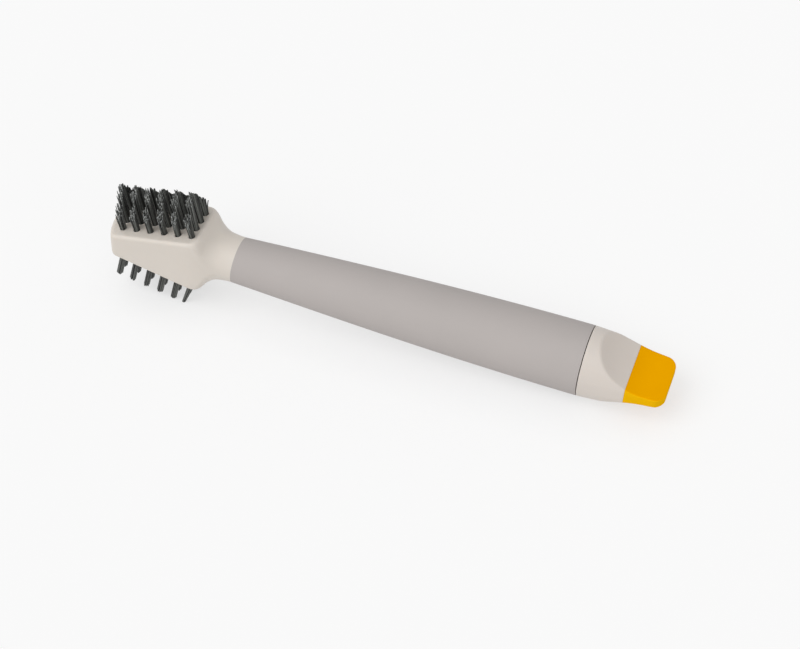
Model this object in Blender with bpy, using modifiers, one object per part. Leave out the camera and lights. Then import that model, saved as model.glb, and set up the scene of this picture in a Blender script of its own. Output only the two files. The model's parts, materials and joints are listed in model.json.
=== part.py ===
# A two-sided detailing brush for small corners, lying as it rests on a table.
# A white moulded body carries the wedge-shaped head, the neck and the core of the handle.
# A soft grip is moulded over the core, a white end cap plugs it, and a scraper blade ends the cap.
# Long bristles with a roof-shaped trim stand on the upper face, short level ones on the lower face.
# The handle's own frame has x along its axis with zero at the seam of grip and cap, x grows
# towards the scraper, and z is up. An empty tilts that frame into the resting pose. Lengths in metres.

import math

import bmesh
import bpy
from mathutils import Matrix, Vector

for old in list(bpy.data.objects):
    bpy.data.objects.remove(old, do_unlink=True)

# Lengths along the handle, which add up to about 180 mm
head_length = 0.0288
neck_length = 0.0108
grip_length = 0.1140
cap_length = 0.0144
blade_length = 0.0121

# Head: a wedge that grows towards the handle, with its outer end bowed outwards in plan
head_width = 0.0191
head_tip_height = 0.0090
head_back_height = 0.0216
head_lift = 0.0003
head_edge_radius = 0.0012
head_tip_radius = 0.0012
head_plan_radius = 0.0010
head_bow = 0.0026
head_bow_run = 0.0076
crest_radius = 0.0022
back_angle = math.radians(46)
neck_fillet = 0.0052
rounding_lead = 0.0029
rounding_run = 0.0094
narrowing_lead = 0.0035

# Handle: radii of the round grip and of what it hides
neck_radius = 0.00743
belly_radius = 0.01110
sleeve_wall = 0.0020
core_wall = 0.0022
socket_depth = 0.0160
bore_floor = 0.0080
plug_lead = 0.0010
seat_gap = 0.0003
parting_gap = 0.0005

# Scraper end: a round form with a scoop cut in above and below, running out into the blade
shoulder_length = 0.0190
blade_radius = 0.0095
blade_tip_thickness = 0.0028
blade_slope = math.radians(3.4)
blade_corner_radius = 0.0036
scoop_radius = 0.0220
scoop_run = 0.0061
scoop_exit_angle = math.radians(60)
tongue_length = 0.0042
tongue_width = 0.0110
tongue_thickness = 0.0018

# Tufts: six columns along the head and four rows across it, on both faces
tuft_columns = 6
tuft_rows = 4
upper_front_margin = 0.00255
upper_back_margin = 0.0026
lower_front_margin = 0.0023
lower_back_margin = 0.0031
row_pitch = 0.00357
tuft_diameter = 0.0021
hole_clearance = 0.0002
hole_depth = 0.0030
upper_ridge_length = 0.0139
upper_outer_length = 0.0067
lower_length = 0.0114
standing_cut = 0.0005
standing_bend = 0.0010

# Strands: thick stand-ins for the filaments, an inner ring and an outer ring in each tuft
inner_strands = 3
outer_strands = 7
strand_radius = 0.00024
strand_sides = 3
strand_root = 0.0006
inner_ring_share = 0.30
outer_ring_share = 0.72
strand_spread = 0.00050
column_twist = math.radians(50)
row_twist = math.radians(28)

# How finely round forms are divided
round_steps = 32
corner_steps = 5
level_steps = 4
fillet_steps = 4
neck_steps = 3
profile_steps = 10
hole_sides = 8
overrun = 0.0010
weld_distance = 0.00001
sharp_edge_angle = math.radians(35)
fillet_reach_share = 0.9

# Places along the handle's axis that follow from the lengths
grip_start = -grip_length
crest_x = grip_start - neck_length
tip_x = crest_x - head_length
blade_root_x = cap_length
blade_tip_x = cap_length + blade_length
cap_start = parting_gap / 2
cap_end = blade_root_x - seat_gap / 2
cap_places = [cap_end + (cap_start - cap_end) * step / profile_steps for step in range(profile_steps + 1)]

# The two tufted faces lean out from the axis by the same angle
face_angle = math.atan2((head_back_height - head_tip_height) / 2, head_length)


def smooth(value):
    """Ease from nought to one, level at both ends."""
    t = min(max(value, 0.0), 1.0)
    return t * t * (3 - 2 * t)


def mix(start, end, share):
    return start + (end - start) * share


def grip_radius(x):
    """The grip swells from the neck to its belly as a quarter of a sine wave."""
    share = (x - grip_start) / grip_length
    return mix(neck_radius, belly_radius, math.sin(share * math.pi / 2))


def end_radius(x):
    """The round form past the seam, before the scoops are cut."""
    return mix(belly_radius, blade_radius, smooth(x / shoulder_length))


def core_radius(x):
    """The core is a plain cone that leaves the soft grip its wall at both ends."""
    share = (x - grip_start) / grip_length
    return mix(neck_radius, belly_radius, share) - sleeve_wall - seat_gap


def face_height(x):
    """Half the wedge's height, measured from the middle of the head."""
    return head_tip_height / 2 + math.tan(face_angle) * (x - tip_x)


def filleted(points, radii):
    """A polyline in a plane with each inner corner rounded by an arc of its radius."""
    line = [Vector(points[0])]
    for before, corner, after, radius in zip(points, points[1:], points[2:], radii):
        corner = Vector(corner)
        back = (Vector(before) - corner).normalized()
        ahead = (Vector(after) - corner).normalized()
        half = back.angle(ahead) / 2
        reach = min(radius / math.tan(half), (Vector(after) - corner).length * fillet_reach_share)
        size = reach * math.tan(half)
        centre = corner + (back + ahead).normalized() * (size / math.sin(half))
        start = corner + back * reach - centre
        end = corner + ahead * reach - centre
        for step in range(fillet_steps + 1):
            share = step / fillet_steps
            line.append(centre + start.slerp(end, share).normalized() * size)
    line.append(Vector(points[-1]))
    return line


# Collections, the resting frame and materials
brush = bpy.data.collections.new("detailing_brush")
cutters = bpy.data.collections.new("detailing_brush_cutters")
bpy.context.scene.collection.children.link(brush)
bpy.context.scene.collection.children.link(cutters)

resting_frame = bpy.data.objects.new("resting_frame", None)
brush.objects.link(resting_frame)


def plastic(name, colour, roughness):
    material = bpy.data.materials.new(name)
    material.use_nodes = True
    shader = material.node_tree.nodes["Principled BSDF"]
    shader.inputs["Base Color"].default_value = (*colour, 1.0)
    shader.inputs["Roughness"].default_value = roughness
    shader.inputs["Metallic"].default_value = 0.0
    material.diffuse_color = (*colour, 1.0)
    return material


body_white = plastic("body_white_polypropylene", (0.64, 0.59, 0.55), 0.45)
grip_grey = plastic("grip_grey_soft_plastic", (0.44, 0.40, 0.38), 0.65)
cap_white = plastic("cap_white_polypropylene", (0.63, 0.58, 0.54), 0.45)
blade_yellow = plastic("blade_yellow_nylon", (0.80, 0.36, 0.01), 0.40)
upper_nylon = plastic("upper_bristle_nylon", (0.035, 0.042, 0.044), 0.45)
lower_nylon = plastic("lower_bristle_nylon", (0.045, 0.047, 0.052), 0.45)


def add_object(name, mesh, collection, material=None, location=(0, 0, 0), rotation=(0, 0, 0)):
    item = bpy.data.objects.new(name, mesh)
    item.location = location
    item.rotation_euler = rotation
    item.parent = resting_frame
    collection.objects.link(item)
    if material:
        mesh.materials.append(material)
    if collection == cutters:
        item.hide_render = True
        item.display_type = "WIRE"
    return item


def mesh_from(build_shape, name):
    """A mesh from a bmesh, with its faces turned outwards and its round faces shaded smooth."""
    bmesh.ops.recalc_face_normals(build_shape, faces=build_shape.faces)
    mesh = bpy.data.meshes.new(name)
    build_shape.to_mesh(mesh)
    build_shape.free()
    mesh.shade_smooth()
    mesh.set_sharp_from_angle(angle=sharp_edge_angle)
    return mesh


def combine(item, other, operation):
    modifier = item.modifiers.new(operation.lower() + "_" + other.name, "BOOLEAN")
    modifier.operation = operation
    modifier.solver = "EXACT"
    modifier.object = other


def turned(name, profile, closed, collection, material=None):
    """A profile of radius and place on the axis, turned about the handle's axis."""
    mesh = bpy.data.meshes.new(name)
    points = [(radius, 0, place) for radius, place in profile]
    edges = [(i, i + 1) for i in range(len(points) - 1)]
    if closed:
        edges.append((len(points) - 1, 0))
    mesh.from_pydata(points, edges, [])
    item = add_object(name, mesh, collection, material, rotation=(0, math.pi / 2, 0))
    screw = item.modifiers.new("turn", "SCREW")
    screw.steps = round_steps
    screw.render_steps = round_steps
    screw.use_merge_vertices = True
    screw.merge_threshold = weld_distance
    screw.use_smooth_shade = True
    return item


def plate(name, outline, thickness, rotation=(0, 0, 0)):
    """A flat outline given an even thickness about its plane, as a mesh cutter."""
    curve = bpy.data.curves.new(name + "_outline", "CURVE")
    curve.dimensions = "2D"
    curve.fill_mode = "BOTH"
    curve.extrude = thickness / 2
    spline = curve.splines.new("POLY")
    spline.points.add(len(outline) - 1)
    for point, place in zip(spline.points, outline):
        point.co = (place[0], place[1], 0, 1)
    spline.use_cyclic_u = True
    drawn = bpy.data.objects.new(name + "_outline", curve)
    cutters.objects.link(drawn)
    graph = bpy.context.evaluated_depsgraph_get()
    mesh = bpy.data.meshes.new_from_object(drawn.evaluated_get(graph))
    bpy.data.objects.remove(drawn, do_unlink=True)
    shape = bmesh.new()
    shape.from_mesh(mesh)
    bmesh.ops.remove_doubles(shape, verts=shape.verts, dist=weld_distance)
    shape.to_mesh(mesh)
    shape.free()
    mesh.name = name
    return add_object(name, mesh, cutters, rotation=rotation)


# Brush body: head, neck and hollow core in one moulding, lofted along the handle's axis
def section(half_width, half_height, radius, middle, roundness):
    """A rectangle with round corners that becomes a circle as its roundness goes to one."""
    steps = corner_steps + level_steps
    quarter = []
    for step in range(steps + 1):
        corner_turn = math.pi / 2 * min(step / corner_steps, 1)
        round_turn = math.pi / 2 * (2 * step + 1) / (2 * steps + 1)
        turn = mix(corner_turn, round_turn, roundness)
        inward = max(step - corner_steps, 0) / level_steps
        y = (half_width - radius) * (1 - inward) + radius * math.cos(turn)
        quarter.append((y, half_height - radius + radius * math.sin(turn)))
    upper = quarter + [(-y, z) for y, z in reversed(quarter[:-1])]
    lower = [(y, -z) for y, z in reversed(upper)]
    return [(y, z + middle) for y, z in upper + lower]


def ring(radius):
    return section(radius, radius, radius, 0, 1)


def bowed(x, y, z):
    """The head's end stands out in the middle of its width, and both faces run on to it."""
    fade = max(1 - (x - tip_x) / head_bow_run, 0)
    out = x - head_bow * fade * (1 - (y / (head_width / 2)) ** 2)
    return out, y, head_lift + (z - head_lift) * face_height(out) / face_height(x)


def arc_inset(depth, radius):
    """How far a rounded end draws in from its side, at a depth from the end."""
    rest = max(radius - depth, 0)
    return radius - math.sqrt(radius * radius - rest * rest)


def head_sections():
    """Sections from the rounded tip over the wedge and its crest down into the neck."""
    half_tip = head_tip_height / 2
    half_back = head_back_height / 2
    valley_x = crest_x + (half_back - neck_radius) / math.tan(back_angle)
    side_line = filleted(
        [(tip_x, half_tip), (crest_x, half_back), (valley_x, neck_radius), (grip_start, neck_radius)],
        [crest_radius, neck_fillet],
    )
    stations = []
    for step in range(fillet_steps + 1):
        turn = math.pi / 2 * (1 - step / fillet_steps)
        x = tip_x + head_tip_radius * (1 - math.sin(turn))
        stations.append((x, face_height(x)))
    rounding_start = crest_x - rounding_lead
    for x in (tip_x + head_bow_run, crest_x - narrowing_lead, rounding_start):
        stations.append((x, face_height(x)))
    stations += [(point.x, point.y) for point in side_line[1:-1]]
    for step in range(1, neck_steps + 1):
        stations.append((mix(side_line[-2].x, grip_start, step / neck_steps), neck_radius))
    sections = []
    for x, half_height in stations:
        narrowing = smooth((x - crest_x + narrowing_lead) / (neck_length + narrowing_lead))
        roundness = smooth((x - rounding_start) / rounding_run)
        half_width = mix(head_width / 2, neck_radius, narrowing) - arc_inset(x - tip_x, head_plan_radius)
        half_height -= arc_inset(x - tip_x, head_tip_radius)
        radius = mix(head_edge_radius, min(half_width, half_height), roundness)
        middle = head_lift * (1 - narrowing)
        sections.append((x, section(half_width, half_height, radius, middle, roundness)))
    return sections


def loft(sections, name):
    """A skin over sections along x, closed at both ends by upright strips."""
    shape = bmesh.new()
    rings = []
    for x, points in sections:
        rings.append([shape.verts.new(bowed(x, y, z)) for y, z in points])
    for near, far in zip(rings, rings[1:]):
        for i in range(len(near)):
            j = (i + 1) % len(near)
            shape.faces.new((near[i], near[j], far[j], far[i]))
    for end in (rings[0], rings[-1]):
        for i in range(len(end) // 2 - 1):
            shape.faces.new((end[i], end[i + 1], end[-i - 2], end[-i - 1]))
    return mesh_from(shape, name)


core_end = -parting_gap / 2
socket_radius = core_radius(-socket_depth) - core_wall
bore_end = grip_start + bore_floor
bore_end_radius = core_radius(bore_end) - core_wall
body_sections = head_sections() + [
    (grip_start, ring(core_radius(grip_start))),
    (core_end, ring(core_radius(core_end))),
    (core_end, ring(socket_radius)),
    (-socket_depth, ring(socket_radius)),
    (-socket_depth, ring(socket_radius - core_wall / 2)),
    (bore_end, ring(bore_end_radius)),
]
brush_body = add_object("brush_body", loft(body_sections, "brush_body"), brush, body_white)


# Tufts and the blind holes that hold them
def seat(side, column, row):
    """Where a tuft stands, with its own z pointing out of the tufted face."""
    front = upper_front_margin if side > 0 else lower_front_margin
    back = upper_back_margin if side > 0 else lower_back_margin
    x = mix(tip_x + front, crest_x - back, column / (tuft_columns - 1))
    y = (row - (tuft_rows - 1) / 2) * row_pitch
    place = Matrix.Translation((x, y, head_lift + side * face_height(x)))
    lean = -face_angle if side > 0 else math.pi + face_angle
    return place @ Matrix.Rotation(lean, 4, "Y")


seats = [
    (side, column, row)
    for side in (1, -1)
    for column in range(tuft_columns)
    for row in range(tuft_rows)
]

hole_shape = bmesh.new()
for key in seats:
    bmesh.ops.create_cone(
        hole_shape,
        cap_ends=True,
        segments=hole_sides,
        radius1=tuft_diameter / 2 + hole_clearance,
        radius2=tuft_diameter / 2 + hole_clearance,
        depth=hole_depth + overrun,
        matrix=seat(*key) @ Matrix.Translation((0, 0, (overrun - hole_depth) / 2)),
    )
tuft_holes = add_object("tuft_holes", mesh_from(hole_shape, "tuft_holes"), cutters)
combine(brush_body, tuft_holes, "DIFFERENCE")


# The brush stands on the last column of lower tufts, bent over by its weight, and on its belly
last_root = seat(-1, tuft_columns - 1, 0)
standing_point = last_root @ Vector((standing_bend, 0, lower_length - standing_cut))
rest_tilt = min(
    math.atan2(-standing_point.z - end_radius(x), x - standing_point.x) for x in cap_places
)
floor_normal = Vector((math.sin(rest_tilt), 0, -math.cos(rest_tilt)))


def strand(shape, foot, tip):
    turn = (tip - foot).to_track_quat("Z", "Y").to_matrix().to_4x4()
    bmesh.ops.create_cone(
        shape,
        cap_ends=True,
        segments=strand_sides,
        radius1=strand_radius,
        radius2=strand_radius,
        depth=(tip - foot).length,
        matrix=Matrix.Translation((foot + tip) / 2) @ turn,
    )


def trimmed_length(side, across):
    """Upper tufts are trimmed to a roof along the head, and lower tufts are trimmed level."""
    if side < 0:
        return lower_length
    outer_row = (tuft_rows - 1) / 2 * row_pitch
    return mix(upper_ridge_length, upper_outer_length, abs(across) / outer_row)


def strand_ends(side, row, index, count, ring_share, twist, bend):
    """Foot and tip of one strand, which spreads a little as it rises out of its hole."""
    angle = 2 * math.pi * index / count + twist
    out = Vector((math.cos(angle), math.sin(angle), 0))
    foot = out * (tuft_diameter / 2 * ring_share)
    tip = foot + out * (strand_spread * ring_share)
    across = (row - (tuft_rows - 1) / 2) * row_pitch + tip.y
    tip.z = trimmed_length(side, across)
    tip.x += bend
    return foot - Vector((0, 0, strand_root)), tip


def tuft(side, column, row):
    """A slice of packed filaments in the hole, and the strands that stand out of it."""
    name = "{}_tuft_{}_{}".format("upper" if side > 0 else "lower", column + 1, row + 1)
    place = seat(side, column, row)
    standing = side < 0 and column == tuft_columns - 1
    bend = standing_bend if standing else 0
    twist = column_twist * column + row_twist * row
    strands = bmesh.new()
    for count, share, turn in (
        (inner_strands, inner_ring_share, twist),
        (outer_strands, outer_ring_share, -twist),
    ):
        for index in range(count):
            strand(strands, *strand_ends(side, row, index, count, share, turn, bend))
    if standing:
        to_local = place.inverted()
        cut = bmesh.ops.bisect_plane(
            strands,
            geom=strands.verts[:] + strands.edges[:] + strands.faces[:],
            plane_co=to_local @ standing_point,
            plane_no=to_local.to_3x3() @ floor_normal,
            clear_outer=True,
        )
        cut_edges = [item for item in cut["geom_cut"] if isinstance(item, bmesh.types.BMEdge)]
        bmesh.ops.contextual_create(strands, geom=cut_edges)
    strand_object = add_object(name + "_strands", mesh_from(strands, name + "_strands"), cutters)
    strand_object.matrix_local = place
    root = bmesh.new()
    root_depth = hole_depth - seat_gap
    bmesh.ops.create_cone(
        root,
        cap_ends=True,
        segments=hole_sides,
        radius1=tuft_diameter / 2,
        radius2=tuft_diameter / 2,
        depth=root_depth,
        matrix=Matrix.Translation((0, 0, -root_depth / 2)),
    )
    nylon = upper_nylon if side > 0 else lower_nylon
    item = add_object(name, mesh_from(root, name), brush, nylon)
    item.matrix_local = place
    combine(item, strand_object, "UNION")


for key in seats:
    tuft(*key)


# Soft grip, moulded over the core between the neck's shoulder and the parting line
sleeve_start = grip_start + seat_gap
sleeve_outside = []
for step in range(profile_steps + 1):
    x = mix(core_end, sleeve_start, step / profile_steps)
    sleeve_outside.append((grip_radius(x), x))
sleeve_inside = [
    (core_radius(sleeve_start) + seat_gap, sleeve_start),
    (core_radius(core_end) + seat_gap, core_end),
]
turned("grip_sleeve", sleeve_outside + sleeve_inside, True, brush, grip_grey)


# Scoops: an arc that comes down through the round form, past the seam, into the blade's face
def face_of_blade(x):
    return blade_tip_thickness / 2 + math.tan(blade_slope) * (blade_tip_x - x)


def scoop_outline():
    lead_x = blade_root_x + scoop_run
    line = [(blade_tip_x + overrun, face_of_blade(blade_tip_x + overrun))]
    for step in range(profile_steps + 1):
        turn = mix(blade_slope, scoop_exit_angle, step / profile_steps)
        x = lead_x - scoop_radius * (math.sin(turn) - math.sin(blade_slope))
        z = face_of_blade(lead_x) + scoop_radius * (math.cos(blade_slope) - math.cos(turn))
        line.append((x, z))
    top = line[-1][1]
    line.append((blade_tip_x + overrun, top))
    return line


scoop_width = 2 * (belly_radius + overrun)
upper_scoop = plate("upper_scoop", scoop_outline(), scoop_width, (math.pi / 2, 0, 0))
lower_line = [(x, -z) for x, z in reversed(scoop_outline())]
lower_scoop = plate("lower_scoop", lower_line, scoop_width, (math.pi / 2, 0, 0))


# End cap: its plug fills the core's socket and its tongue carries the blade
plug_radius = socket_radius - seat_gap
plug_end = seat_gap - socket_depth
cap_outside = [(0, cap_end)] + [(end_radius(x), x) for x in cap_places]
cap_plug = [
    (plug_radius, cap_start),
    (plug_radius, plug_end + plug_lead),
    (plug_radius - plug_lead, plug_end),
    (0, plug_end),
]
end_cap = turned("end_cap", cap_outside + cap_plug, False, brush, cap_white)
combine(end_cap, upper_scoop, "DIFFERENCE")
combine(end_cap, lower_scoop, "DIFFERENCE")


def block(name, start, end, width, thickness):
    """A box about the axis between two places along it, for the tongue and its slot."""
    shape = bmesh.new()
    size = Matrix.Diagonal((end - start, width, thickness, 1))
    middle = Matrix.Translation(((start + end) / 2, 0, 0))
    bmesh.ops.create_cube(shape, size=1, matrix=middle @ size)
    return add_object(name, mesh_from(shape, name), cutters)


tongue_end = blade_root_x + tongue_length
tongue = block("tongue", cap_end - overrun, tongue_end, tongue_width, tongue_thickness)
combine(end_cap, tongue, "UNION")


# Scraper blade: the round form runs on, cut by the same scoops, with round corners in plan
blade_start = blade_root_x + seat_gap / 2
blade_round = [(0, blade_tip_x)]
for step in range(profile_steps + 1):
    x = mix(blade_tip_x, blade_start, step / profile_steps)
    blade_round.append((end_radius(x), x))
blade_round.append((0, blade_start))
scraper_blade = turned("scraper_blade", blade_round, False, brush, blade_yellow)
combine(scraper_blade, upper_scoop, "DIFFERENCE")
combine(scraper_blade, lower_scoop, "DIFFERENCE")

plan_start = blade_start - overrun
plan_root = end_radius(blade_start) + seat_gap
plan_tip = end_radius(blade_tip_x)
plan_line = filleted(
    [(plan_start, -plan_root), (blade_tip_x, -plan_tip), (blade_tip_x, plan_tip), (plan_start, plan_root)],
    [blade_corner_radius, blade_corner_radius],
)
combine(scraper_blade, plate("blade_plan", plan_line, scoop_width), "INTERSECT")

slot = block(
    "slot",
    blade_start - overrun,
    tongue_end + seat_gap,
    tongue_width + 2 * seat_gap,
    tongue_thickness + 2 * seat_gap,
)
combine(scraper_blade, slot, "DIFFERENCE")


# Laid down on the floor, with the middle of its footprint over the origin
def reach_of(collection):
    graph = bpy.context.evaluated_depsgraph_get()
    corners = []
    for item in collection.objects:
        if item.type == "MESH":
            shaped = item.evaluated_get(graph)
            corners += [shaped.matrix_world @ vertex.co for vertex in shaped.data.vertices]
    low = Vector([min(corner[axis] for corner in corners) for axis in range(3)])
    high = Vector([max(corner[axis] for corner in corners) for axis in range(3)])
    return low, high


resting_frame.rotation_euler = (0, rest_tilt, 0)
bpy.context.view_layer.update()
low, high = reach_of(brush)
resting_frame.location = (-(low.x + high.x) / 2, -(low.y + high.y) / 2, -low.z)
bpy.context.view_layer.update()
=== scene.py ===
import json
import math
import random

import bmesh
import bpy
import numpy as np
from mathutils import Euler, Matrix, Vector


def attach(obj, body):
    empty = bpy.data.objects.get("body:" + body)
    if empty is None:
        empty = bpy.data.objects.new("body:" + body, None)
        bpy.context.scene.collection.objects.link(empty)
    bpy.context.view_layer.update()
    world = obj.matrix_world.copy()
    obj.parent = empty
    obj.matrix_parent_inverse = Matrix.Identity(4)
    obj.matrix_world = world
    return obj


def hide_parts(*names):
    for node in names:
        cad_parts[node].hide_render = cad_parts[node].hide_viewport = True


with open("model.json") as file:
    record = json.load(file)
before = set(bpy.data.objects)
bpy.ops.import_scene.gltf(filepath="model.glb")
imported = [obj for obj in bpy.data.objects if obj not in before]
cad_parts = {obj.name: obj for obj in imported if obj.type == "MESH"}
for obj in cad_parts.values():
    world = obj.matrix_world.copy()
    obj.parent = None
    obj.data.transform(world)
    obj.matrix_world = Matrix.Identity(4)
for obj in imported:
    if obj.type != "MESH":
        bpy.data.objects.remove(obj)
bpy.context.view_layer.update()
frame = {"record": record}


# The brush lies on its last lower tufts and on the belly of its handle, so the handle slopes.
# Every piece is made in the handle's own frame, in metres: x runs along the handle from the seam
# of grip and cap towards the scraper, and z points up. The head's side face gives its place.
grip_length = 0.1140
neck_length = 0.0108
head_length = 0.0288
head_width = 0.0191
head_lift = 0.0003
slope = math.radians(3.9485)

grip_start = -grip_length
crest_x = grip_start - neck_length
tip_x = crest_x - head_length

side_face = next(mount for mount in frame["record"]["mounts"] if mount["name"] == "head_side_face")
side_middle = Vector((tip_x + head_length / 2, -head_width / 2, head_lift))
tilt = Matrix.Rotation(slope, 4, "Y")
lying = Matrix.Translation(Vector(side_face["pos_m"]) - tilt @ side_middle) @ tilt


# Brush body: head, neck and hollow core in one injection moulding of polypropylene.
# The wedge-shaped head has soft edges and an end that bows out in plan. It falls off steeply behind
# its crest and runs into the round neck. The 48 blind holes for the tufts are drilled later.
head_tip_height = 0.0090
head_back_height = 0.0216
head_edge_radius = 0.0012
head_tip_radius = 0.0012
head_plan_radius = 0.0010
head_bow = 0.0026
head_bow_run = 0.0076
crest_radius = 0.0022
back_angle = math.radians(46)
neck_fillet = 0.0052
neck_radius = 0.00743
belly_radius = 0.01110
rounding_lead = 0.0029
rounding_run = 0.0094
narrowing_lead = 0.0035
seam_lean = math.radians(4.3)
seam_reach = 0.0080
sleeve_wall = 0.0023
core_wall = 0.0022
socket_depth = 0.0160
parting_gap = 0.00025
face_angle = math.atan2((head_back_height - head_tip_height) / 2, head_length)
station_step = 0.0004
arc_steps = 14
flat_points = 9
corner_points = 11
sharp_edge = math.radians(40)


def mix(start, end, share):
    return start + (end - start) * share


def ease(value):
    """From nought to one, level at both ends."""
    t = np.clip(value, 0, 1)
    return t * t * (3 - 2 * t)


def outline(half_width, half_height, radius, roundness=0.0, middle=0.0):
    """A rectangle with round corners, with the same number of points at every size."""
    spare = roundness * math.pi / 4 * flat_points / (flat_points + corner_points) * radius
    quarter_turn = math.pi / 2 * radius
    upright = half_height - radius
    level = half_width - radius
    corner_start = upright + spare
    corner_end = upright + quarter_turn - spare
    runs = np.concatenate(
        [
            np.linspace(0, corner_start, flat_points, endpoint=False),
            np.linspace(corner_start, corner_end, corner_points, endpoint=False),
            np.linspace(corner_end, upright + quarter_turn + level, flat_points),
        ]
    )
    turn = np.clip((runs - upright) / radius, 0, math.pi / 2)
    y = level - np.clip(runs - upright - quarter_turn, 0, None) + radius * np.cos(turn)
    z = np.clip(runs, 0, upright) + radius * np.sin(turn)
    top = np.concatenate([np.stack([y, z], 1), np.stack([-y, z], 1)[-2::-1]])
    ring = np.concatenate([top, top[-2:0:-1] * (1, -1)])
    return ring + (0, middle)


def circle(radius):
    return outline(radius, radius, radius, 1.0)


def skin(name, sections, closed=False):
    """A mesh over sections along x, closed by upright strips at both ends or joined into a ring."""
    count = len(sections[0][1])
    points = np.concatenate([np.column_stack([np.full(count, x), ring]) for x, ring in sections])
    around = np.arange(count)
    beside = (around + 1) % count
    faces = []
    for start in range(len(sections) if closed else len(sections) - 1):
        here = start * count
        there = (start + 1) % len(sections) * count
        quads = np.stack([here + around, here + beside, there + beside, there + around], 1)
        faces += quads.tolist()
    for end in () if closed else (0, len(points) - count):
        for i in range(count // 2):
            strip = dict.fromkeys((i, i + 1, count - i - 1, (count - i) % count))
            faces.append([end + corner for corner in strip])
    mesh = bpy.data.meshes.new(name)
    mesh.from_pydata(points.tolist(), [], faces)
    shape = bmesh.new()
    shape.from_mesh(mesh)
    bmesh.ops.recalc_face_normals(shape, faces=shape.faces)
    shape.to_mesh(mesh)
    shape.free()
    mesh.shade_smooth()
    mesh.set_sharp_from_angle(angle=sharp_edge)
    return mesh


def lay(name, mesh, *materials):
    """A piece in the handle's frame, laid down with the brush."""
    piece = bpy.data.objects.new(name, mesh)
    piece.matrix_world = lying
    bpy.context.scene.collection.objects.link(piece)
    for material in materials:
        mesh.materials.append(material)
    return piece


def face_height(x):
    """Half the wedge's height."""
    return head_tip_height / 2 + math.tan(face_angle) * (x - tip_x)


def rounded_corner(before, corner, after, radius):
    """The arc of a radius that rounds one corner of a line."""
    back = (before - corner).normalized()
    ahead = (after - corner).normalized()
    half = back.angle(ahead) / 2
    centre = corner + (back + ahead).normalized() * (radius / math.sin(half))
    start = corner + back * (radius / math.tan(half)) - centre
    end = corner + ahead * (radius / math.tan(half)) - centre
    turns = [start.slerp(end, step / arc_steps).normalized() for step in range(arc_steps + 1)]
    return [centre + turn * radius for turn in turns]


def walked(points):
    """The same line, with each point no further from the next than a station's step."""
    line = [points[0]]
    for point in points[1:]:
        steps = math.ceil((point - line[-1]).length / station_step)
        line += [line[-1].lerp(point, (step + 1) / steps) for step in range(steps)]
    return line


def drawn_in(depth, radius):
    """How far a rounded end draws in from its side, at a depth from the end."""
    rest = min(max(radius - depth, 0), radius)
    return radius - math.sqrt(radius * radius - rest * rest)


valley_x = crest_x + (head_back_height / 2 - neck_radius) / math.tan(back_angle)
side_corners = [
    Vector((tip_x, head_tip_height / 2)),
    Vector((crest_x, head_back_height / 2)),
    Vector((valley_x, neck_radius)),
    Vector((grip_start, neck_radius)),
]
side_line = walked(
    [Vector((tip_x + head_tip_radius, face_height(tip_x + head_tip_radius)))]
    + rounded_corner(*side_corners[:3], crest_radius)
    + rounded_corner(*side_corners[1:], neck_fillet)
    + side_corners[3:]
)
tip_turns = np.linspace(0, math.pi / 2, arc_steps, endpoint=False)
tip_line = [tip_x + head_tip_radius * (1 - math.cos(turn)) for turn in tip_turns]

body_line = [(x, face_height(x)) for x in tip_line] + [tuple(point) for point in side_line]
body_sections = []
for x, half_height in body_line:
    narrowing = float(ease((x - crest_x + narrowing_lead) / (neck_length + narrowing_lead)))
    roundness = float(ease((x - crest_x + rounding_lead) / rounding_run))
    half_width = mix(head_width / 2, neck_radius, narrowing) - drawn_in(x - tip_x, head_plan_radius)
    half_height -= drawn_in(x - tip_x, head_tip_radius)
    radius = mix(head_edge_radius, min(half_width, half_height), roundness)
    middle = head_lift * (1 - narrowing)
    body_sections.append((x, outline(half_width, half_height, radius, roundness, middle)))


def bowed(place):
    """The head's end stands out in the middle of its width, and both faces run on to it."""
    fade = max(1 - (place.x - tip_x) / head_bow_run, 0)
    out = place.x - head_bow * fade * (1 - (place.y / (head_width / 2)) ** 2)
    rise = (place.z - head_lift) * face_height(out) / face_height(place.x)
    return Vector((out, place.y, head_lift + rise))


def leaned(place):
    """The seam of neck and grip leans towards the cap at its top."""
    fade = float(ease(1 - abs(place.x - grip_start) / seam_reach))
    return place + Vector((math.tan(seam_lean) * place.z * fade, 0, 0))


def core_radius(x):
    """The core is a plain cone that leaves the soft grip its wall at both ends."""
    return mix(neck_radius, belly_radius, (x - grip_start) / grip_length) - sleeve_wall


core_end = -parting_gap / 2
socket_radius = core_radius(-socket_depth) - core_wall
body_sections += [
    (grip_start, circle(core_radius(grip_start))),
    (core_end, circle(core_radius(core_end))),
    (core_end, circle(socket_radius)),
    (-socket_depth, circle(socket_radius)),
]

# The holes: six columns of four on each face, each square to the face that it is drilled in.
tuft_columns = 6
tuft_rows = 4
upper_front_margin = 0.00255
upper_back_margin = 0.0026
lower_front_margin = 0.0023
lower_back_margin = 0.0031
row_pitch = 0.00357
hole_radius = 0.00113
hole_depth = 0.0020
hole_sides = 24


def seat(side, column, row):
    """Where a tuft stands on the upper (1) or lower (-1) face, with z along its filaments."""
    front = upper_front_margin if side > 0 else lower_front_margin
    back = upper_back_margin if side > 0 else lower_back_margin
    x = mix(tip_x + front, crest_x - back, column / (tuft_columns - 1))
    y = (row - (tuft_rows - 1) / 2) * row_pitch
    place = Matrix.Translation((x, y, head_lift + side * face_height(x)))
    return place @ Matrix.Rotation(-face_angle if side > 0 else math.pi + face_angle, 4, "Y")


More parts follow.
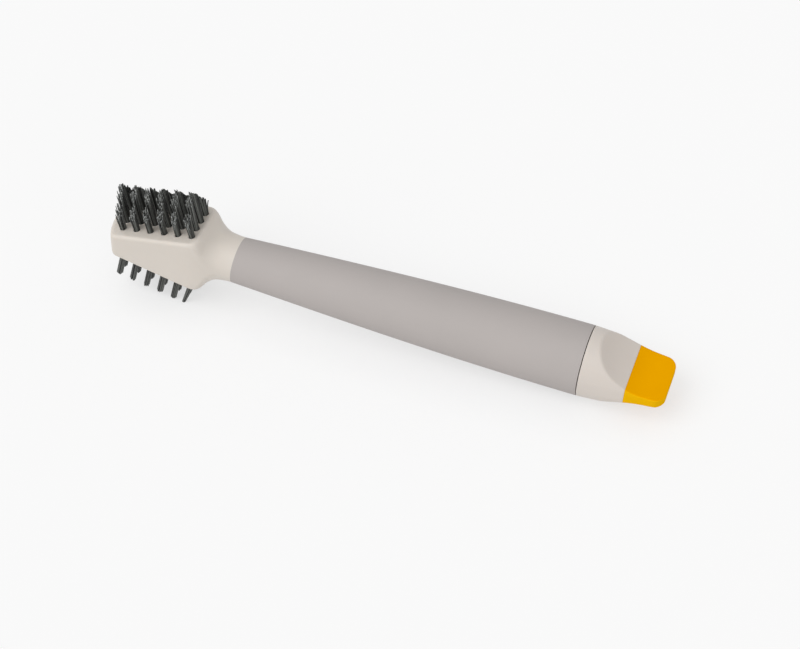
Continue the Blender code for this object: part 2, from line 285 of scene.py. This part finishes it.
seats = [
    (side, column, row)
    for side in (1, -1)
    for column in range(tuft_columns)
    for row in range(tuft_rows)
]
drills = bmesh.new()
for place in seats:
    bmesh.ops.create_cone(
        drills,
        cap_ends=True,
        segments=hole_sides,
        radius1=hole_radius,
        radius2=hole_radius,
        depth=hole_depth * 2,
        matrix=seat(*place),
    )
drill_mesh = bpy.data.meshes.new("drills")
drills.to_mesh(drill_mesh)
drills.free()
drill = lay("drills", drill_mesh)
body_skin = skin("moulded_body", body_sections)
for vertex in body_skin.vertices:
    vertex.co = leaned(bowed(vertex.co))
body = lay("moulded_body", body_skin)
boring = body.modifiers.new("holes", "BOOLEAN")
boring.operation = "DIFFERENCE"
boring.solver = "EXACT"
boring.object = drill
bored = bpy.data.meshes.new_from_object(body.evaluated_get(bpy.context.evaluated_depsgraph_get()))
body.modifiers.clear()
body.data = bored
body.data.name = "moulded_body"
body.data.set_sharp_from_angle(angle=sharp_edge)
bpy.data.objects.remove(drill)


def linear(code):
    """An sRGB hex colour as the linear values that a shader reads."""
    parts = [int(code[i : i + 2], 16) / 255 for i in (0, 2, 4)]
    return (
        *[part / 12.92 if part <= 0.04045 else ((part + 0.055) / 1.055) ** 2.4 for part in parts],
        1.0,
    )


def add(tree, kind, inputs, **settings):
    """One node, with its settings, and with its inputs set or linked to another node's output."""
    made = tree.nodes.new(kind)
    for name, value in settings.items():
        setattr(made, name, value)
    for name, value in inputs.items():
        if isinstance(value, bpy.types.NodeSocket):
            tree.links.new(value, made.inputs[name])
        else:
            made.inputs[name].default_value = value
    return made


def new_material(name):
    """An empty material and its node tree."""
    material = bpy.data.materials.new(name)
    material.use_nodes = True
    material.node_tree.nodes.clear()
    return material, material.node_tree


# Polypropylene, injection moulded against a finely eroded steel tool and left in its warm white.
# It gives the eye a satin skin: soft highlights, a faint cloudiness where the melt flowed,
# and a little light that travels under the surface. The real grain of 0.05 mm is drawn at 0.3 mm.
cloud_size = 0.014
white_grain = 0.0003
flow_detail = 3.0
grain_detail = 2.0


def moulded_polypropylene(name, main, cloud):
    material, tree = new_material(name)
    place = add(tree, "ShaderNodeTexCoord", {}).outputs["Object"]
    clouds = {"Vector": place, "Scale": 1 / cloud_size, "Detail": flow_detail}
    flow = add(tree, "ShaderNodeTexNoise", clouds).outputs["Fac"]
    grains = {"Vector": place, "Scale": 1 / white_grain, "Detail": grain_detail}
    grain = add(tree, "ShaderNodeTexNoise", grains).outputs["Fac"]
    colour = add(
        tree,
        "ShaderNodeMix",
        {"Factor": flow, "A": linear(main), "B": linear(cloud)},
        data_type="RGBA",
    )
    sheen = add(tree, "ShaderNodeMapRange", {"Value": grain, "To Min": 0.40, "To Max": 0.50})
    bump = add(tree, "ShaderNodeBump", {"Height": grain, "Strength": 0.25, "Distance": 0.00002})
    shader = add(
        tree,
        "ShaderNodeBsdfPrincipled",
        {
            "Base Color": colour.outputs["Result"],
            "Roughness": sheen.outputs["Result"],
            "IOR": 1.49,
            "Subsurface Weight": 0.10,
            "Subsurface Radius": (0.0012, 0.0010, 0.0008),
            "Subsurface Scale": 1.0,
            "Normal": bump.outputs["Normal"],
        },
    )
    add(tree, "ShaderNodeOutputMaterial", {"Surface": shader.outputs["BSDF"]})
    return material


body_white = moulded_polypropylene("polypropylene_moulded_body_white", "DDD5CC", "D8D0C6")
body.data.materials.append(body_white)
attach(body, "root")
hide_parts("brush_body")


# Tufts: straight nylon filaments, folded over a metal anchor and punched into their holes. The
# upper ones are trimmed to a roof along the head and fan out. The lower ones are trimmed level,
# and the weight of the brush bends their last column over and gathers its tips.
filament_radius = 0.00015
filament_sides = 8
filament_rings = 8
sharp_filament_edge = math.radians(65)
bundle_radius = 0.00108
filament_spacing = 0.00031
spacing_shake_share = 0.14
filament_root = 0.0012
ridge_length = 0.0144
outer_length = 0.0072
level_length = 0.0115
upper_lean = 0.00035
fan_along = 0.00020
fan_across_least = 0.0003
fan_across_most = 0.0009
tuft_sway = 0.0001
tip_sway = 0.00028
lower_sway = 0.00012
stray_chance = 0.12
stray_sway = 0.0006
upper_ragged = 0.00085
lower_ragged = 0.0002
bow_least = 1.0
bow_most = 1.7
standing_bend = 0.0010
standing_spread = 0.00045
standing_gather = 0.00052

# Drawn nylon 6 in charcoal: smooth along the filament, with a weak gloss. The dye differs from
# filament to filament, drawn much stronger than it is, so that single filaments show.
charcoal_nylon, tree = new_material("nylon_drawn_charcoal")
single = add(tree, "ShaderNodeNewGeometry", {}).outputs["Random Per Island"]
dye = add(
    tree,
    "ShaderNodeMix",
    {"Factor": single, "A": linear("060606"), "B": linear("848682")},
    data_type="RGBA",
)
gloss = add(tree, "ShaderNodeMapRange", {"Value": single, "To Min": 0.32, "To Max": 0.50})
shader = add(
    tree,
    "ShaderNodeBsdfPrincipled",
    {
        "Base Color": dye.outputs["Result"],
        "Roughness": gloss.outputs["Result"],
        "IOR": 1.53,
        "Specular IOR Level": 0.2,
    },
)
add(tree, "ShaderNodeOutputMaterial", {"Surface": shader.outputs["BSDF"]})

# The same nylon where the trimming blade went through it, painted paler: a painted highlight for
# the light that the cut tips catch.
cut_nylon_painted_highlight, tree = new_material("nylon_cut_ends_painted_highlight")
single = add(tree, "ShaderNodeNewGeometry", {}).outputs["Random Per Island"]
tip_painted_highlight = add(
    tree,
    "ShaderNodeMix",
    {"Factor": single, "A": linear("525454"), "B": linear("A4A6A4")},
    data_type="RGBA",
)
shader = add(
    tree,
    "ShaderNodeBsdfPrincipled",
    {"Base Color": tip_painted_highlight.outputs["Result"], "Roughness": 0.65, "Specular IOR Level": 0.2},
)
add(tree, "ShaderNodeOutputMaterial", {"Surface": shader.outputs["BSDF"]})


def packed_places(dice):
    """Where the filaments stand in their hole: side by side in a slightly shaken honeycomb."""
    reach = math.ceil(bundle_radius / filament_spacing) + 1
    places = []
    for i in range(-reach, reach + 1):
        for j in range(-reach, reach + 1):
            shake = Vector((dice.uniform(-1, 1), dice.uniform(-1, 1))) * filament_spacing
            cell = Vector((i + j / 2, j * math.sqrt(3) / 2)) * filament_spacing
            place = cell + shake * spacing_shake_share
            if place.length < bundle_radius - filament_radius:
                places.append(place)
    return places


def bundle(name, side, column, row):
    """One tuft: every filament leaves its hole straight, leans out, and ends where it was cut."""
    dice = random.Random(side * 1000 + column * 10 + row)
    to_lying = lying @ seat(side, column, row)
    offset = (row - (tuft_rows - 1) / 2) * row_pitch
    outer_row = (tuft_rows - 1) / 2 * row_pitch
    if side > 0:
        fan = Vector((fan_along, dice.uniform(fan_across_least, fan_across_most)))
        tuft_lean = Vector((upper_lean + dice.gauss(0, tuft_sway), dice.gauss(0, tuft_sway)))
    elif column < tuft_columns - 1:
        fan = Vector((0, 0))
        tuft_lean = Vector((0, 0))
    else:
        fan = Vector((-standing_gather, -standing_gather))
        tuft_lean = Vector((standing_bend, standing_spread * offset / outer_row))
    points, faces, cut_faces = [], [], []
    for foot in packed_places(dice):
        heading = dice.uniform(0, 2 * math.pi)
        if side < 0:
            reach = lower_sway
        else:
            reach = stray_sway if dice.random() < stray_chance else tip_sway
        sway = Vector((math.cos(heading), math.sin(heading))) * dice.uniform(0, reach)
        bow = dice.uniform(bow_least, bow_most)
        lean = foot / bundle_radius * fan + tuft_lean + sway
        ragged = -abs(dice.gauss(0, upper_ragged if side > 0 else lower_ragged))
        turned = dice.uniform(0, 2 * math.pi)
        first = len(points)
        for step in range(filament_rings):
            share = step / (filament_rings - 1)
            for corner in range(filament_sides):
                angle = turned + 2 * math.pi * corner / filament_sides
                spot = foot + lean * share**bow
                x = spot.x + filament_radius * math.cos(angle)
                y = spot.y + filament_radius * math.sin(angle)
                if side > 0:
                    tip = mix(ridge_length, outer_length, abs(offset + y) / outer_row)
                else:
                    tip = level_length
                tip += ragged
                if side < 0:
                    across_x, across_y, along, lift = to_lying[2]
                    tip = min(tip, -(across_x * x + across_y * y + lift) / along)
                points.append((x, y, mix(-filament_root, tip, share)))
        for step in range(filament_rings - 1):
            here = first + step * filament_sides
            for corner in range(filament_sides):
                beside = (corner + 1) % filament_sides
                above = here + filament_sides
                faces.append((here + corner, here + beside, above + beside, above + corner))
        faces.append(tuple(first + corner for corner in reversed(range(filament_sides))))
        cut_faces.append(len(faces))
        last = first + (filament_rings - 1) * filament_sides
        faces.append(tuple(last + corner for corner in range(filament_sides)))
    mesh = bpy.data.meshes.new(name)
    mesh.from_pydata(points, [], faces)
    mesh.shade_smooth()
    mesh.set_sharp_from_angle(angle=sharp_filament_edge)
    mesh.materials.append(charcoal_nylon)
    mesh.materials.append(cut_nylon_painted_highlight)
    # The cut faces take the paler nylon, a painted highlight on the tuft tips.
    for index in cut_faces:
        mesh.polygons[index].material_index = 1
    piece = bpy.data.objects.new(name, mesh)
    piece.matrix_world = to_lying
    bpy.context.scene.collection.objects.link(piece)
    return piece


for side, column, row in seats:
    face = "upper" if side > 0 else "lower"
    tuft = bundle("{}_filaments_{}_{}".format(face, column + 1, row + 1), side, column, row)
    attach(tuft, "root")
    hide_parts("{}_tuft_{}_{}".format(face, column + 1, row + 1))


# Grip: a thermoplastic elastomer, moulded over the core in a second shot and flush with the neck.
# It swells from the neck to its belly and ends in a small rounded rim at the parting line.
rim_radius = 0.00015
rim_steps = 5
grip_steps = 90


def rim(x, radius, inward):
    """Sections that round a turned piece's edge at x; inward is 1 where the piece lies past x."""
    line = []
    for step in range(rim_steps + 1):
        turn = math.pi / 2 * step / rim_steps
        back = rim_radius * (1 - math.sin(turn))
        line.append((x + inward * back, radius - rim_radius * (1 - math.cos(turn))))
    return sorted(line)


def grip_radius(x):
    """The grip swells from the neck to its belly as a quarter of a sine wave."""
    return mix(neck_radius, belly_radius, math.sin((x - grip_start) / grip_length * math.pi / 2))


grip_end = core_end
grip_line = [(grip_start, core_radius(grip_start))]
for step in range(grip_steps + 1):
    x = mix(grip_start, grip_end - rim_radius, step / grip_steps)
    grip_line.append((x, grip_radius(x)))
grip_line += rim(grip_end, grip_radius(grip_end), -1)
grip_line.append((grip_end, core_radius(grip_end)))
grip_skin = skin("soft_grip", [(x, circle(radius)) for x, radius in grip_line], closed=True)
for vertex in grip_skin.vertices:
    vertex.co = leaned(vertex.co)
grip = lay("soft_grip", grip_skin)

# Soft-touch elastomer off a matt tool: no clear highlight, a dry sheen at glancing angles, and a
# grain that the eye reads as velvety. The real grain of 0.04 mm is drawn at 0.25 mm.
grip_cloud_size = 0.018
grip_grain = 0.00025
elastomer, tree = new_material("elastomer_overmoulded_warm_grey")
place = add(tree, "ShaderNodeTexCoord", {}).outputs["Object"]
clouds = {"Vector": place, "Scale": 1 / grip_cloud_size, "Detail": flow_detail}
flow = add(tree, "ShaderNodeTexNoise", clouds).outputs["Fac"]
grains = {"Vector": place, "Scale": 1 / grip_grain, "Detail": grain_detail}
grain = add(tree, "ShaderNodeTexNoise", grains).outputs["Fac"]
colour = add(
    tree,
    "ShaderNodeMix",
    {"Factor": flow, "A": linear("B9B2AF"), "B": linear("B2ACA9")},
    data_type="RGBA",
)
dryness = add(tree, "ShaderNodeMapRange", {"Value": grain, "To Min": 0.60, "To Max": 0.74})
bump = add(tree, "ShaderNodeBump", {"Height": grain, "Strength": 0.35, "Distance": 0.00003})
shader = add(
    tree,
    "ShaderNodeBsdfPrincipled",
    {
        "Base Color": colour.outputs["Result"],
        "Roughness": dryness.outputs["Result"],
        "IOR": 1.50,
        "Specular IOR Level": 0.35,
        "Normal": bump.outputs["Normal"],
    },
)
add(tree, "ShaderNodeOutputMaterial", {"Surface": shader.outputs["BSDF"]})
grip.data.materials.append(elastomer)
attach(grip, "root")
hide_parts("grip_sleeve")


# End cap and scraper: one form, first turned round, then scooped out above and below until it runs
# out into a flat blade with round corners. The cap's plug sits in the core, and the blade, moulded
# in yellow nylon, is pressed onto the cap's tongue so that their faces run on without a step.
cap_length = 0.0144
blade_length = 0.0121
blade_radius = 0.0094
narrowing_bow = 1.09
blade_tip_thickness = 0.0028
blade_slope = math.radians(3.4)
blade_corner_radius = 0.0038
scoop_radius = 0.0220
scoop_run = 0.0061
scoop_edge_radius = 0.0005
blade_edge_radius = 0.0003
joint_line = 0.00004
plug_gap = 0.0003
form_step = 0.00018
form_points = 288
search_margin = 1.01
search_steps = 40
corner_steps = 40

blade_root_x = cap_length
blade_tip_x = cap_length + blade_length


def end_radius(x):
    """The radius of the round form past the seam, before it is scooped."""
    return mix(belly_radius, blade_radius, (x / blade_tip_x) ** narrowing_bow)


def edge_between(a, b, radius):
    """Two depths below two surfaces, joined into one with their common edge rounded."""
    near = np.hypot(np.clip(radius - a, 0, None), np.clip(radius - b, 0, None))
    return np.maximum(radius, np.minimum(a, b)) - near


def depth_in_form(x, y, z):
    """How deep a point lies inside the form, below nought outside it."""
    below_round = end_radius(x) - np.hypot(y, z)
    lead_x = blade_root_x + scoop_run
    lead_z = blade_tip_thickness / 2 + math.tan(blade_slope) * (blade_tip_x - lead_x)
    along = (x - lead_x) * math.cos(blade_slope) - (np.abs(z) - lead_z) * math.sin(blade_slope)
    above = (x - lead_x) * math.sin(blade_slope) + (np.abs(z) - lead_z) * math.cos(blade_slope)
    below_scoop = np.where(along > 0, -above, np.hypot(along, above - scoop_radius) - scoop_radius)
    past_corner_x = x - (blade_tip_x - blade_corner_radius)
    past_corner_y = np.abs(y) - (end_radius(x) - blade_corner_radius)
    outside = np.hypot(np.clip(past_corner_x, 0, None), np.clip(past_corner_y, 0, None))
    inside = np.clip(np.maximum(past_corner_x, past_corner_y), None, 0)
    in_plan = blade_corner_radius - outside - inside
    scooped = edge_between(below_round, below_scoop, scoop_edge_radius)
    return edge_between(scooped, in_plan, blade_edge_radius)


def form_ring(x):
    """The form's outline at a place along the axis, found along rays from the axis."""
    face = blade_tip_thickness / 2 + math.tan(blade_slope) * max(blade_tip_x - x, 0)
    radius = float(end_radius(x))
    turn = np.linspace(0, 2 * math.pi, form_points, endpoint=False)
    flatness = float(ease(x / blade_root_x))
    height = mix(radius, min(face, radius), flatness)
    angle = np.arctan2(height * np.sin(turn), radius * np.cos(turn))
    low = np.zeros(form_points)
    high = np.full(form_points, radius * search_margin)
    for _ in range(search_steps):
        middle = (low + high) / 2
        deep = depth_in_form(x, middle * np.cos(angle), middle * np.sin(angle)) > 0
        low = np.where(deep, middle, low)
        high = np.where(deep, high, middle)
    return np.stack([low * np.cos(angle), low * np.sin(angle)], 1)


def form_stations(start, end):
    return np.linspace(start, end, math.ceil((end - start) / form_step) + 1)


def form_circle(radius):
    turn = np.linspace(0, 2 * math.pi, form_points, endpoint=False)
    return np.stack([radius * np.cos(turn), radius * np.sin(turn)], 1)


cap_start = parting_gap / 2
cap_sections = [
    (plug_gap - socket_depth, form_circle(socket_radius - plug_gap)),
    (cap_start, form_circle(socket_radius - plug_gap)),
]
cap_sections += [(x, form_circle(radius)) for x, radius in rim(cap_start, belly_radius, 1)]
cap_sections += [(x, form_ring(x)) for x in form_stations(cap_start + rim_radius, blade_root_x)[1:]]
# The cap takes a slightly darker white than the body: painted shade for light that falls off
# towards the scraper's end.
cap = lay(
    "end_cap_moulding",
    skin("end_cap_moulding", cap_sections),
    moulded_polypropylene("polypropylene_moulded_cap_painted_shade", "DAD2CA", "D5CCC4"),
)
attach(cap, "root")
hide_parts("end_cap")

corner_turns = np.linspace(0, math.pi / 2, corner_steps + 1)
corner_line = blade_tip_x - blade_corner_radius * (1 - np.sin(corner_turns))
blade_line = np.concatenate(
    [form_stations(blade_root_x + joint_line, blade_tip_x - blade_corner_radius), corner_line[1:]]
)
blade_sections = [(x, form_ring(x)) for x in blade_line]
blade = lay("scraper", skin("scraper", blade_sections))

# Nylon 6 in deep yellow, moulded against a smooth tool: a cleaner satin than the white, with
# very fine scuffs. Faces that tilt away from level are painted a lighter yellow: painted light
# on the blade's sides and edges. The real scuffs of 0.02 mm are drawn at 0.2 mm.
blade_cloud_size = 0.009
scuff_size = 0.0002
yellow_nylon, tree = new_material("nylon_moulded_yellow")
place = add(tree, "ShaderNodeTexCoord", {}).outputs
clouds = {"Vector": place["Object"], "Scale": 1 / blade_cloud_size, "Detail": flow_detail}
flow = add(tree, "ShaderNodeTexNoise", clouds).outputs["Fac"]
grains = {"Vector": place["Object"], "Scale": 1 / scuff_size, "Detail": grain_detail}
scuffs = add(tree, "ShaderNodeTexNoise", grains).outputs["Fac"]
face_colour = add(
    tree,
    "ShaderNodeMix",
    {"Factor": flow, "A": linear("F6AE00"), "B": linear("F2A700")},
    data_type="RGBA",
)
# Painted light: the steeper a face stands, the more it is mixed towards the lighter yellow.
upright = add(tree, "ShaderNodeSeparateXYZ", {"Vector": place["Normal"]}).outputs["Z"]
flatness = add(tree, "ShaderNodeMath", {0: upright}, operation="ABSOLUTE").outputs["Value"]
side_face_painted_light = add(tree, "ShaderNodeMapRange", {"Value": flatness, "From Min": 0.95, "From Max": 0.60})
colour = add(
    tree,
    "ShaderNodeMix",
    {
        "Factor": side_face_painted_light.outputs["Result"],
        "A": face_colour.outputs["Result"],
        "B": linear("F2B80A"),
    },
    data_type="RGBA",
)
sheen = add(tree, "ShaderNodeMapRange", {"Value": scuffs, "To Min": 0.36, "To Max": 0.48})
bump = add(tree, "ShaderNodeBump", {"Height": scuffs, "Strength": 0.2, "Distance": 0.00002})
shader = add(
    tree,
    "ShaderNodeBsdfPrincipled",
    {
        "Base Color": colour.outputs["Result"],
        "Roughness": sheen.outputs["Result"],
        "IOR": 1.53,
        "Specular IOR Level": 0.0,
        "Normal": bump.outputs["Normal"],
    },
)
add(tree, "ShaderNodeOutputMaterial", {"Surface": shader.outputs["BSDF"]})
blade.data.materials.append(yellow_nylon)
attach(blade, "root")
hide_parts("scraper_blade")


# The table: a seamless sweep of white board, wide enough to fill every view.
# It is seen, also in reflections, whiter and with paler shadows than it lights the brush, and a
# painted shadow, which dims its glow by ambient occlusion, is darkest where the brush comes close
# to it.
table_width = 6.0
table_squares = 8
contact_reach = 0.018
sweep = bmesh.new()
bmesh.ops.create_grid(
    sweep, x_segments=table_squares, y_segments=table_squares, size=table_width / 2
)
table_mesh = bpy.data.meshes.new("table")
sweep.to_mesh(table_mesh)
sweep.free()
table = bpy.data.objects.new("table", table_mesh)
bpy.context.scene.collection.objects.link(table)


def seen_ray(tree):
    """One for the rays that show the studio, straight, mirrored or through something clear."""
    ray = add(tree, "ShaderNodeLightPath", {}).outputs
    straight = add(tree, "ShaderNodeMath", {0: ray["Is Camera Ray"], 1: ray["Is Glossy Ray"]})
    either = {0: straight.outputs["Value"], 1: ray["Is Transmission Ray"]}
    return add(tree, "ShaderNodeMath", either, use_clamp=True).outputs["Value"]


board, tree = new_material("coated_white_board")
paint = add(tree, "ShaderNodeBsdfDiffuse", {"Color": linear("EDEDED")})
seen_paint = add(tree, "ShaderNodeBsdfDiffuse", {"Color": linear("9A9A9A")})
# Painted shadow: ambient occlusion dims the board's glow where the brush is near.
openness = add(tree, "ShaderNodeAmbientOcclusion", {"Distance": contact_reach}, samples=16)
glow_with_painted_contact_shadow = add(
    tree, "ShaderNodeMapRange", {"Value": openness.outputs["AO"], "To Min": 0.59, "To Max": 0.66}
)
lift = add(
    tree,
    "ShaderNodeEmission",
    {"Color": linear("FFFFFF"), "Strength": glow_with_painted_contact_shadow.outputs["Result"]},
)
lifted = add(
    tree,
    "ShaderNodeAddShader",
    {0: seen_paint.outputs["BSDF"], 1: lift.outputs["Emission"]},
)
surface = add(
    tree,
    "ShaderNodeMixShader",
    {0: seen_ray(tree), 1: paint.outputs["BSDF"], 2: lifted.outputs["Shader"]},
)
add(tree, "ShaderNodeOutputMaterial", {"Surface": surface.outputs["Shader"]})
table_mesh.materials.append(board)

# The light of a white studio: an even dome, a wide soft lamp in front and to the left, and a low
# weaker one in front and to the right.
dome = bpy.data.worlds.new("white_studio")
dome.use_nodes = True
dome.node_tree.nodes.clear()
tree = dome.node_tree
seen = seen_ray(tree)
strength = add(tree, "ShaderNodeMapRange", {"Value": seen, "To Min": 0.56, "To Max": 0.95})
white = {"Color": linear("FFFFFF"), "Strength": strength.outputs["Result"]}
light = add(tree, "ShaderNodeBackground", white)
add(tree, "ShaderNodeOutputWorld", {"Surface": light.outputs["Background"]})
bpy.context.scene.world = dome

lamp_breadth = math.radians(50)
quarter = math.radians(90)


def soft_lamp(name, energy, height, heading):
    """A wide lamp far off, at a height above the table and a heading from the scraper's end."""
    lamp = bpy.data.lights.new(name, "SUN")
    lamp.energy = energy
    lamp.angle = lamp_breadth
    lamp_stand = bpy.data.objects.new(name, lamp)
    lamp_stand.rotation_euler = (quarter - height, 0, heading + quarter)
    bpy.context.scene.collection.objects.link(lamp_stand)


soft_lamp("main_lamp", energy=1.24, height=math.radians(48), heading=math.radians(225))
soft_lamp("low_lamp", energy=0.34, height=math.radians(25), heading=math.radians(315))

# The camera stands in front of the brush, a little past its scraper, and looks down at its middle.
# Its place and turn are given in the handle's own frame.
camera = bpy.data.cameras.new("camera")
camera.sensor_width = 36
camera.lens = 89.452
camera_stand = bpy.data.objects.new("camera", camera)
camera_place = Matrix.Translation((0.060607, -0.39752, 0.4553))
camera_turn = Euler((math.radians(41.8066), math.radians(-2.3618), math.radians(19.4858)), "XYZ")
camera_stand.matrix_world = lying @ camera_place @ camera_turn.to_matrix().to_4x4()
bpy.context.scene.collection.objects.link(camera_stand)
bpy.context.scene.camera = camera_stand
bpy.context.scene.view_settings.view_transform = "Standard"
